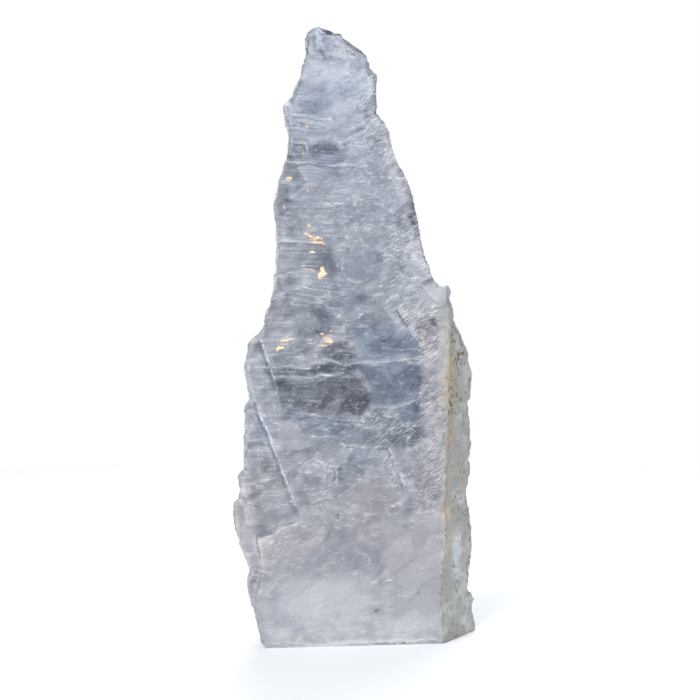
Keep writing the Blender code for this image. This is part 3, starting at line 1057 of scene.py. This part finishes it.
FRONT_REGIONS = (
    # the dark clear core and the lighter belt below it
    Facet(((-49.5, 129), (-40, 128), (-31, 128.5), (-20, 130), (-10, 130.5), (-7, 126), (-4, 121), (-4, 115),
           (-9, 111), (-22, 110.5), (-38, 112), (-46, 113.5), (-47.5, 121.5)),
          Tint(-0.28, cool=0.1, warm=0.3)),
    Patch(-43, 125, 7, 4, Tint(-0.10, cool=0.2)),
    Patch(-38, 131.5, 14, 1.8, Tint(-0.34, warm=0.2)),
    Patch(-12, 119, 9, 8, Tint(-0.05, warm=0.4)),
    Facet(((-46, 113), (-38, 111.5), (-20, 109.5), (-8, 109), (-14, 104), (-24, 101), (-36, 101), (-38, 107),
           (-45, 108)), Tint(-0.14, cool=0.5)),
    Patch(-19, 141, 10, 4.5, Tint(-0.36, warm=0.4)),
    Patch(-12, 101.5, 12, 4.5, Tint(-0.24, cool=0.2)),
    # the clear window and its neighbours
    Facet(((-9, 135), (-5.5, 128), (-2.5, 123), (-4.5, 118), (-1, 115), (9, 115), (20, 118.8), (21.5, 126),
           (20.5, 134), (12, 136), (0, 135)), Tint(-0.13, cool=0.7, calm=0.5), soft=1.0),
    Facet(((2, 121.5), (9, 129), (13, 135), (19.5, 134), (20, 127), (10, 127)), Tint(-0.08, cool=0.1),
          soft=1.6),
    Facet(((-12, 152), (-9, 144), (-6, 137.5), (8, 137), (20, 139.5), (20, 144), (14, 150), (4, 153)),
          Tint(-0.08, cool=0.6, calm=0.3), soft=2.4),
    Patch(3, 144, 9, 4, Tint(-0.10, cool=0.1, warm=0.2)),
    Facet(((9, 114), (19, 117.5), (21, 113), (17, 107), (12, 106.5), (10, 110)),
          Tint(-0.18, cool=0.7, calm=0.6)),
    Facet(((-6, 110.5), (2, 113), (10, 108), (19, 106), (19, 97), (4, 96.5), (-4, 100)),
          Tint(-0.20, cool=0.1, frost=1.0), soft=2.0),
    # the lower body
    Facet(((-45, 107.5), (-39, 107.5), (-37, 98), (-35, 94.5), (-43, 94.5), (-47.5, 100)),
          Tint(0.08, warm=0.2, calm=0.6)),
    Patch(-8, 90, 10, 4, Tint(-0.06, cool=0.3)),
    Facet(((-20.5, 88), (-16, 87), (-15.5, 79), (-19.5, 78)), Tint(-0.11, cool=0.3)),
    Patch(-5, 72, 12, 8, Tint(0.02, warm=0.5, calm=0.5)),
    Facet(((-57, 148.5), (-62, 145), (-64, 135), (-62, 122), (-60, 118), (-49.5, 122), (-52, 134)),
          Tint(0.0, cool=0.1, calm=0.3)),
    Facet(((-60.5, 146), (-56.5, 147.5), (-55.5, 143.5), (-58.5, 142)), Tint(-0.22)),
    Facet(((-63, 137), (-57, 141.5), (-53, 140), (-54, 138), (-62, 135)), Tint(0.16, warm=0.2)),
    Patch(-53, 131, 2.5, 5, Tint(-0.12), turn=10),
    Patch(-59, 74, 5, 4, Tint(-0.08, warm=0.3)),
    Patch(-54, 87, 3, 4, Tint(-0.12, warm=0.6)),
    Patch(-55, 105, 5, 7, Tint(-0.05, cool=0.4, calm=0.6)),
    Facet(((-60, 69), (-44, 72), (-39.5, 64), (-41, 60.5), (-47, 57.5), (-59, 53.5)), Tint(-0.02, cool=0.1)),
    Patch(-56, 56, 5, 3, Tint(-0.10, cool=0.2)),
    Patch(-4, 56, 10, 12, Tint(0.10, warm=0.2)),
    Facet(((-59, 52), (-47, 57), (-38, 60), (-24, 58), (-26, 46), (-40, 40), (-57, 41)),
          Tint(0.10, warm=0.3, frost=0.45), soft=2.0),
    Facet(((-46, 35), (-30, 34), (-12, 33.5), (-3, 31), (-2, 20), (-8, 14), (-26, 12.5), (-42, 13),
           (-50, 20), (-50, 30)), Tint(0.30, cool=0.1, calm=0.5), soft=5.0),
    Facet(((2, 60), (24, 62), (31, 58), (31, 8), (2, 6)), Tint(0.18, warm=0.1, calm=0.4), soft=4.0),
    Patch(-12, 4, 60, 9, Tint(0.20, calm=0.2)),
    # the upper body
    Facet(((-17, 190.5), (-17.5, 178.5), (-15, 174.5), (-4, 173.5), (-0.5, 177), (0, 190.5)),
          Tint(-0.05, cool=0.35, calm=0.4)),
    Facet(((-34, 194), (-20, 192), (-19, 182), (-20, 176), (-30, 180), (-38, 183), (-38, 188)),
          Tint(-0.04, warm=0.3), soft=2.5),
    Patch(-25, 185, 4, 3, Tint(-0.08, cool=0.4)),
    Facet(((-30, 166), (-20, 167), (-20, 152), (-28, 150), (-33, 153), (-33, 160)), Tint(-0.08, cool=0.3),
          soft=2.6),
    Patch(-34, 151, 7, 2.5, Tint(-0.18, warm=0.3)),
    Patch(-8, 167, 6, 3, Tint(-0.11, cool=0.3)),
    Facet(((-16, 173), (-10, 172), (-9, 152), (-5, 138), (-9, 138), (-13, 150), (-17, 160)),
          Tint(0.07, cool=0.3, calm=0.4)),
    Facet(((-32, 241), (-19.5, 240.5), (-17, 232), (-19, 230), (-30, 230.5), (-33, 236)),
          Tint(-0.17, cool=0.4)),
    Facet(((-44.5, 241), (-34, 241.5), (-33, 235.8), (-46, 236)), Tint(-0.08)),
    Facet(((-46, 235.5), (-33, 235), (-33, 231), (-47, 231)), Tint(-0.13, warm=0.4)),
    Facet(((-45, 249), (-32, 247.5), (-17, 247), (-17, 243.5), (-30, 243), (-44, 245)),
          Tint(-0.12, cool=0.2), soft=1.5),
    Facet(((-33, 271), (-26, 270.5), (-25, 261), (-33, 262), (-36, 266)), Tint(0.05, warm=0.2, calm=0.6)),
    Facet(((-34, 270), (-30, 270), (-20, 276), (-20, 279), (-25, 277)), Tint(0.14, warm=0.2)),
    Patch(-14, 264, 5, 2, Tint(-0.14), turn=20),
    Facet(((-47, 257.5), (-44.5, 262), (-41.5, 256.5)), Tint(0.6)),
    Patch(-13, 203, 2.5, 2.5, Tint(-0.14, cool=0.3)),
    Patch(-32, 260, 11, 8, Tint(-0.16, cool=0.2, calm=0.3)),
    Patch(-36, 182, 13, 14, Tint(0.02, frost=0.45)),
    Facet(((-2, 272), (-2, 255), (4, 246), (10, 228), (16, 212), (20, 192), (28, 176), (22, 178), (15, 192),
           (10, 214), (4, 230), (-3, 248), (-5, 258), (-5, 270)), Tint(0.12, frost=0.2), soft=1.6),
    Patch(-34, 252, 11, 7, Tint(frost=0.4)),
    Patch(-16, 168, 16, 6, Tint(frost=0.3)),
    Patch(0, 238, 16, 26, Tint(frost=0.3)),
    Patch(12, 185, 13, 26, Tint(0.02, frost=0.55)),
    Patch(0, 262, 12, 18, Tint(0.02, frost=0.35)),
    # the frosted right side
    Facet(((10, 163.5), (31.5, 164), (33, 155), (31.5, 139), (22, 138.5), (20, 146), (17, 150), (12, 157)),
          Tint(0.12, warm=0.3, frost=0.6)),
    Patch(13, 154.5, 6, 1.5, Tint(-0.40), turn=-55),
    Patch(25, 170, 6, 7, Tint(0.08, calm=0.6), turn=-45),
    Patch(29, 170, 8, 8, Tint(0.26, warm=0.2, calm=0.7)),
    Patch(27.5, 155.5, 2.2, 1.8, Tint(-0.70, warm=0.4)),
    Patch(15.5, 206, 1.9, 1.7, Tint(-0.35, warm=0.6)),
    Patch(17.5, 202.5, 1.4, 1.4, Tint(-0.35, warm=0.6)),
    # dark wedges
    Patch(-43.5, 228, 3, 1, Tint(-0.20, warm=0.4), turn=25),
    Patch(-44, 212.5, 3, 0.8, Tint(-0.26, warm=0.3)),
    Patch(-46, 218, 1, 2.5, Tint(-0.20), turn=20),
    Patch(13, 57, 1.6, 0.7, Tint(-0.15, warm=0.8), turn=-15),
    # clearer and darker spots, from specks and wedges to wide clouds
    *spots(-0.52, (-20, 133.2, 14, 2.8)),
    *spots(-0.45, (-12.3, 104.6, 0.8, 0.7), (-0.5, 16, 0.7, 0.8)),
    *spots(-0.40, (-19.5, 63, 1.0, 1.3), (19, 24, 0.9, 0.8)),
    *spots(-0.35, (33, 156, 1.2, 1)),
    *spots(-0.30, (13, 100.5, 10, 5), (21.5, 141.3, 1.5, 1.1)),
    *spots(-0.24, (-14, 138, 7, 2.6)),
    *spots(-0.20, (-46, 207, 1.6, 1.2)),
    *spots(-0.18, (0.5, 187, 2.5, 3)),
    *spots(-0.16, (24, 148, 8, 8), (5, 107, 6, 4)),
    *spots(-0.15, (-36, 270, 4, 2.5)),
    *spots(-0.14, (-30, 228, 14, 5), (18, 154, 5, 5), (0, 96, 14, 3), (12, 162, 6, 5)),
    *spots(-0.12, (21, 118, 4, 15), (-24, 231.5, 7, 1.8), (-12, 256, 4, 3.5), (-13, 208.5, 3.5, 2.5),
           (-25, 291, 4, 2.5), (-26, 284.5, 4, 3), (-8, 277, 3, 3), (-36, 252, 9, 8), (-4, 241, 8, 10),
           (-40, 110, 8, 3), (-22, 97, 9, 4), (10, 79, 5, 5), (-8, 28, 6, 4)),
    *spots(-0.10, (-8, 236, 14, 20), (-18, 278, 9, 6), (-28, 262, 12, 9), (-30, 91, 7, 4), (-27, 233, 8, 3),
           (-1, 230, 6, 14), (30, 122, 2.5, 40), (20, 95, 7, 4), (10, 178, 7, 12)),
    *spots(-0.08, (-22, 250, 12, 9), (-22, 264, 14, 8), (-52, 143, 5, 5), (-14, 263, 10, 4), (-9, 270, 4, 8),
           (-41, 61, 4, 5), (31, 125, 1.8, 38), (-63, 125, 2.5, 20), (-64, 98, 2.5, 14), (-14, 166, 10, 8),
           (12, 8, 16, 5), (-28, 55, 14, 5), (2, 216, 12, 12)),
    *spots(-0.07, (-20, 286, 12, 9)),
    *spots(-0.06, (-22, 268, 10, 12), (-32, 226, 10, 8), (-44, 206, 3, 12)),
    # milkier and paler spots
    *spots(0.20, (-68, 62, 3, 12)),
    *spots(0.18, (-12, 1.5, 48, 1.6), (-44, 228, 4, 5)),
    *spots(0.16, (-48, 10, 6, 7), (-30, 176, 8, 4)),
    *spots(0.15, (-64, 76, 3, 4)),
    *spots(0.14, (-21, 155, 5, 5), (-12, 284, 9, 7), (31, 170, 4, 6), (-64, 62, 7, 22), (-40, 268, 3, 12)),
    *spots(0.12, (-56, 80, 5, 6), (-44, 219, 4, 5), (-48, 196, 3, 42), (-45, 252, 3, 10), (-56, 15, 4, 8),
           (20, 69, 7, 4), (-41, 65, 5, 6)),
    *spots(0.10, (-51, 62, 8, 6), (0, 18, 6, 8), (4, 150, 10, 3), (0, 30, 9, 7), (-63, 52, 6, 26),
           (-38, 96, 10, 3), (-50, 70, 7, 6), (-55, 47, 6, 7)),
    *spots(0.09, (-27, 39, 16, 4)),
    *spots(0.08, (-48, 180, 4, 6), (-8, 66, 8, 14), (-53, 46, 8, 10), (-49, 58, 5, 4), (20, 156, 4, 5),
           (2, 157, 6, 4), (-20, 157, 5, 5), (-23, 121, 5, 7), (-8, 185, 9, 8)),
    *spots(0.06, (-39, 143, 5, 3)),
    *spots(0.05, (-18, 118, 4, 6)),
)

FRONT_CRACKS = {
    Layer.MAIN: (
        # across the core and the window
        Crack(((-28, 137.5), (-22, 136.5), (-17, 134.2), (-12, 135.3), (-6, 136), (6, 136), (14, 137),
               (19, 138), (21.5, 139.5)), 0.8, bloom=0.2, drop=0.3),
        Crack(((-48, 134.5), (-38, 133.2), (-30, 132.8)), 0.6, drop=0.2),
        Crack(((-50, 129.5), (-42, 129.2), (-33, 128.6), (-28, 129.4), (-20, 129.8),
               (-15, 131)), 0.65, bloom=0.1, drop=0.3),
        Crack(((-4, 113.5), (4, 114.5), (9, 114.2), (20, 118.5), (23, 120)), 0.8, bloom=0.4, drop=0.3),
        Crack(((-41, 112), (-33, 111), (-25, 109.5), (-14, 108), (-5, 107.7)), 0.55, bloom=0.3, drop=0.2),
        # over the lower body
        Crack(((-20, 96.8), (-8, 95.2), (-2, 94.8), (5, 95.6), (6.5, 92), (8, 87), (11, 81), (12.5, 76),
               (13, 73)), 0.8, bloom=0.4, drop=0.3),
        Crack(((-43, 94.2), (-38, 94), (-34.5, 94.7)), 0.8, bloom=0.2),
        Crack(((-33, 89.5), (-28, 88.5), (-25, 86.3), (-21, 85.5), (-20, 82), (-20, 76)),
              0.9, bloom=0.4, drop=0.4),
        Crack(((-34, 67), (-32, 68.5), (-26, 70.7), (-20.5, 72)), 0.9, bloom=0.4, drop=0.3),
        Crack(((2, 30.2), (6, 31.4)), 0.9),
        # ledges along the left side
        Crack(((-57, 148.5), (-55, 143), (-52.5, 136), (-50.5, 129), (-48, 121.3)), 1.4),
        Crack(((-53, 1.6), (-46, 2.6), (-40, 2.0), (-33, 1.4)), 0.8, bloom=0.3, drop=0.4),
        Crack(((-17, 1.6), (-10, 1.2), (-3, 1.8), (3, 1.3)), 1.0, bloom=0.4, drop=0.4),
        Crack(((14, 1.4), (22, 2.4), (30, 1.8)), 0.6, bloom=0.3, drop=0.3),
        Crack(((-59, 118.5), (-56, 109), (-53, 102), (-49, 92), (-45, 81), (-41, 70), (-38.7, 62)), 1.5),
        Crack(((-38.3, 60.3), (-41, 58.5), (-45.8, 57.2), (-51, 54.6), (-55, 53), (-59, 52)),
              0.9, bloom=0.3),
        Crack(((-57, 79), (-52, 80)), 0.7, bloom=0.2),
        Crack(((-52, 106.5), (-48, 107.2), (-47.5, 104), (-51, 103)), 0.6, bloom=0.2),
        Crack(((-62, 31.2), (-58, 31.6), (-56, 34)), 0.6, bloom=0.2, drop=0.4),
        # the upper body
        Crack(((-42, 241), (-37, 241.4), (-34.5, 241), (-34, 238), (-33, 236.5)), 1.0, bloom=0.2, drop=0.3),
        Crack(((-46, 230.2), (-38, 230.8), (-33, 231.2), (-28, 230.5), (-22, 230),
               (-10, 231)), 0.7, bloom=0.2, drop=0.3),
        Crack(((-18.8, 240.7), (-12, 243.5), (-6, 246.5), (-3, 250)), 0.9, bloom=0.4, drop=0.4),
        Crack(((-42, 250.8), (-33, 250), (-23, 248.8)), 0.6, drop=0.2),
        Crack(((-34, 253), (-22, 252)), 0.5),
        Crack(((-16, 190), (-17.3, 186), (-17.5, 181), (-16.5, 177.5), (-14, 175.5), (-11, 173.5),
               (-6, 175.3), (-2, 177)), 0.45, bloom=0.2, drop=0.2),
        Crack(((-48, 194), (-44, 193.9), (-38, 193.5)), 1.0, bloom=0.2, drop=0.3),
        Crack(((-15.5, 271), (-12, 272.3)), 0.8, bloom=0.5),
        Crack(((-8, 260.5), (-4, 261.8)), 0.8, bloom=0.5),
        # the frosted right side
        Crack(((9, 163), (12.4, 157), (15.2, 151), (20, 146), (21.5, 141)), 0.7, bloom=0.7, drop=0.6),
        Crack(((20.5, 176), (23, 171.5), (26, 167.7), (31, 164.2)), 0.5, drop=0.5),
    ),
    Layer.FINE: (
        # across the core and the window
        Crack(((-8.5, 131), (-6, 126.5), (-3, 123.5), (1, 121.4), (5, 122)), 1.0),
        Crack(((-48, 121.3), (-44, 120.7), (-30, 119.4)), 0.5),
        # over the lower body
        Crack(((8, 95.3), (16, 94.2), (31, 95.7)), 0.5, bloom=0.3),
        Crack(((13, 73.4), (17, 74), (22, 74), (24.3, 71), (24.3, 65), (23, 62)), 0.5, bloom=0.3),
        Crack(((-28, 48), (-25, 46), (-19, 44.4), (-14, 45), (-10, 46.5)), 1.1, bloom=0.3),
        Crack(((-23, 66), (-12, 65.5), (-4, 64)), 0.4),
        Crack(((-29.5, 24), (-28.5, 14)), 0.3),
        Crack(((-21.3, 30), (-19.7, 20)), 0.3),
        # ledges along the left side
        Crack(((-41, 3.2), (-36, 4.8)), 0.8, bloom=0.3),
        Crack(((-29, 0.9), (-22, 2.0), (-18, 1.2)), 0.8, bloom=0.2),
        Crack(((2, 2.0), (9, 3.0), (15, 1.8)), 0.9, bloom=0.3),
        Crack(((-29, 5.6), (-22, 8.6)), 0.4),
        Crack(((-59, 52), (-58, 46), (-57, 42), (-56.6, 37.4)), 0.3, bloom=0.1),
        Crack(((-57.8, 95.5), (-56.8, 93), (-57, 88), (-57.5, 82)), 0.6, bloom=0.2),
        Crack(((-62, 28.4), (-55, 27.5), (-51, 27.5)), 0.5, bloom=0.2),
        # the upper body
        Crack(((-25, 244.3), (-19, 246.2), (-13, 247)), 0.8, bloom=0.3),
        Crack(((-18.8, 240.5), (-17, 236), (-16.2, 231.5)), 0.5),
        Crack(((-37, 257), (-28, 256.5), (-22, 255.6)), 0.5),
        Crack(((-1, 178), (0, 184), (-0.5, 190)), 0.4),
        Crack(((-37, 149), (-30, 151), (-22, 153.5)), 0.4),
        # the frosted right side
        Crack(((16, 162.3), (24, 163.3), (31, 163)), 0.4, bloom=0.3),
    ),
    Layer.PAINTED_GLINT: (
        # painted glints: warm light caught by inner cracks, painted as colour, from the left margin to the
        # core
        Crack(((-44, 223), (-42.8, 224.2), (-41.7, 223)), 1.0),
        Crack(((-48.2, 221.8), (-47.9, 220.5)), 0.8),
        Crack(((-34.6, 218.5), (-33.8, 217)), 0.7),
        Crack(((-44.8, 210.5), (-45.4, 208.5)), 0.9),
        Crack(((-36.5, 204.7), (-35.8, 204.2)), 0.5),
        Crack(((-34, 200.6), (-32.8, 201.5)), 0.9),
        Crack(((-36.2, 197.7), (-33, 196), (-26, 194.8)), 0.8),
        Crack(((-34, 193.2), (-25, 192.6)), 0.7),
        Crack(((-33.3, 188.6), (-29.8, 188.2)), 1.0),
        Crack(((-29.5, 177.6), (-27.5, 178.6), (-24.6, 177.2)), 2.2),
        Crack(((-27, 182), (-26.6, 179.5), (-25.8, 177)), 2.0),
        Crack(((-29.4, 176), (-27.6, 176.3)), 0.8),
        Crack(((-38, 180.3), (-29, 179.8)), 0.4),
        Crack(((-47.5, 145.3), (-44, 146.5), (-40.5, 147)), 0.9),
        Crack(((-49.5, 141.8), (-45.5, 143.2)), 0.9),
        Crack(((-28.5, 149.4), (-26, 149.2)), 0.8),
        Crack(((-27.5, 147), (-22.5, 146.8)), 0.7),
        Crack(((-26, 145.6), (-21.5, 145.8)), 0.9),
        Crack(((-29.5, 144.2), (-24, 144)), 0.8),
        Crack(((-23.5, 150.6), (-21.6, 150.3)), 0.8),
        Crack(((-18.8, 158.5), (-18.2, 158.2)), 0.7),
        Crack(((-21.3, 155.2), (-20.7, 155)), 0.7),
        Crack(((-37, 235.8), (-35.5, 235.9)), 0.6),
        Crack(((-30.7, 237.2), (-29.5, 236.9)), 0.6),
        Crack(((-35, 249.5), (-34, 247.5)), 0.4),
        Crack(((-18.5, 285), (-18, 283.5)), 0.6),
        Crack(((21.7, 146.7), (22.4, 147.2)), 0.8),
        Crack(((6.5, 31.5), (7.2, 31.7)), 0.5),
        Crack(((-38, 4.6), (-37, 4.9)), 0.6),
    ),
}


@dataclass(frozen=True)
class Lamp:
    """A square area light: its name, place, size and power in watts."""

    name: str
    place: tuple[float, float, float]
    size: float
    power: float


@dataclass
class Studio:
    """The pale floor, the soft lights and the camera."""

    lamps: tuple[Lamp, ...] = (
        Lamp("key", (-650, -900, 900), 700, 18),
        Lamp("side", (950, -350, 500), 600, 3),
        Lamp("behind", (250, 900, 700), 800, 10))
    lit_height: float = 140.0

    camera_place: tuple[float, float, float] = (-103.4, -736.6, 141.6)
    camera_turn: float = -7.1
    lens: float = 78.0
    floor_radius: float = 1300.0
    floor_colour: str = "#f4f5f7"
    surround_colour: str = "#d3d8de"
    surround_strength: float = 0.5

    def build(self) -> None:
        """Build the floor, the surround, the lights and the camera."""
        self.floor()
        self.surround()
        for lamp in self.lamps:
            self.light(lamp)
        self.camera()

    def floor(self) -> None:
        """Lay a round pale floor that fades into the surround at its rim."""
        body = bmesh.new()
        bmesh.ops.create_circle(body, cap_ends=True, segments=96, radius=mm(self.floor_radius))
        mesh = bpy.data.meshes.new("floor")
        body.to_mesh(mesh)
        body.free()
        floor = bpy.data.objects.new("floor", mesh)
        bpy.context.scene.collection.objects.link(floor)
        paint = bpy.data.materials.new("pale_floor")
        paint.use_nodes = True
        tree = paint.node_tree
        tree.nodes.clear()
        place = add_node(tree, "ShaderNodeTexCoord").outputs["Object"]
        away = add_node(tree, "ShaderNodeVectorMath", {0: place}, operation="LENGTH").outputs["Value"]
        fade = add_node(tree, "ShaderNodeMapRange", {
            "Value": away, "From Min": mm(0.3 * self.floor_radius), "From Max": mm(0.98 * self.floor_radius)},
            interpolation_type="SMOOTHSTEP")
        matte = add_node(tree, "ShaderNodeBsdfPrincipled", {
            "Base Color": linear(self.floor_colour), "Roughness": 0.7})
        gone = add_node(tree, "ShaderNodeBsdfTransparent")
        mixed = add_node(tree, "ShaderNodeMixShader", {0: fade, 1: matte, 2: gone})
        add_node(tree, "ShaderNodeOutputMaterial", {"Surface": mixed})
        mesh.materials.append(paint)

    def surround(self) -> None:
        """Light the scene softly from all round, with a white backdrop for the camera."""
        world = bpy.data.worlds.new("surround")
        bpy.context.scene.world = world
        world.use_nodes = True
        tree = world.node_tree
        tree.nodes.clear()
        seen = add_node(tree, "ShaderNodeLightPath").outputs["Is Camera Ray"]
        soft = add_node(tree, "ShaderNodeBackground", {
            "Color": linear(self.surround_colour), "Strength": self.surround_strength})
        white = add_node(tree, "ShaderNodeBackground", {"Color": (1, 1, 1, 1), "Strength": 1.0})
        mixed = add_node(tree, "ShaderNodeMixShader", {0: seen, 1: soft, 2: white})
        add_node(tree, "ShaderNodeOutputWorld", {"Surface": mixed})

    def light(self, lamp: Lamp) -> None:
        """Add a lamp that faces the middle of the slab.

        Args:
            lamp: Its sizes and place.
        """
        data = bpy.data.lights.new(lamp.name, "AREA")
        data.size = mm(lamp.size)
        data.energy = lamp.power
        light = bpy.data.objects.new(lamp.name, data)
        light.location = Vector([mm(side) for side in lamp.place])
        aim = Vector((0, 0, mm(self.lit_height))) - light.location
        light.rotation_euler = aim.to_track_quat("-Z", "Y").to_euler()
        bpy.context.scene.collection.objects.link(light)

    def camera(self) -> None:
        """Set a level camera in front, a little to the left."""
        data = bpy.data.cameras.new("camera")
        data.lens = self.lens
        data.sensor_width = 36.0
        eye = bpy.data.objects.new("camera", data)
        eye.location = Vector([mm(side) for side in self.camera_place])
        eye.rotation_euler = (math.pi / 2, 0, math.radians(self.camera_turn))
        bpy.context.scene.collection.objects.link(eye)
        bpy.context.scene.camera = eye


def main() -> None:
    """Build the studio and the slab."""
    logging.basicConfig(level=logging.INFO, format="%(name)s: %(message)s")
    bpy.context.scene.view_settings.view_transform = "Standard"
    Studio().build()
    SeleniteBlade(regions=FRONT_REGIONS, cracks=FRONT_CRACKS).build()


if __name__ == "__main__":
    main()
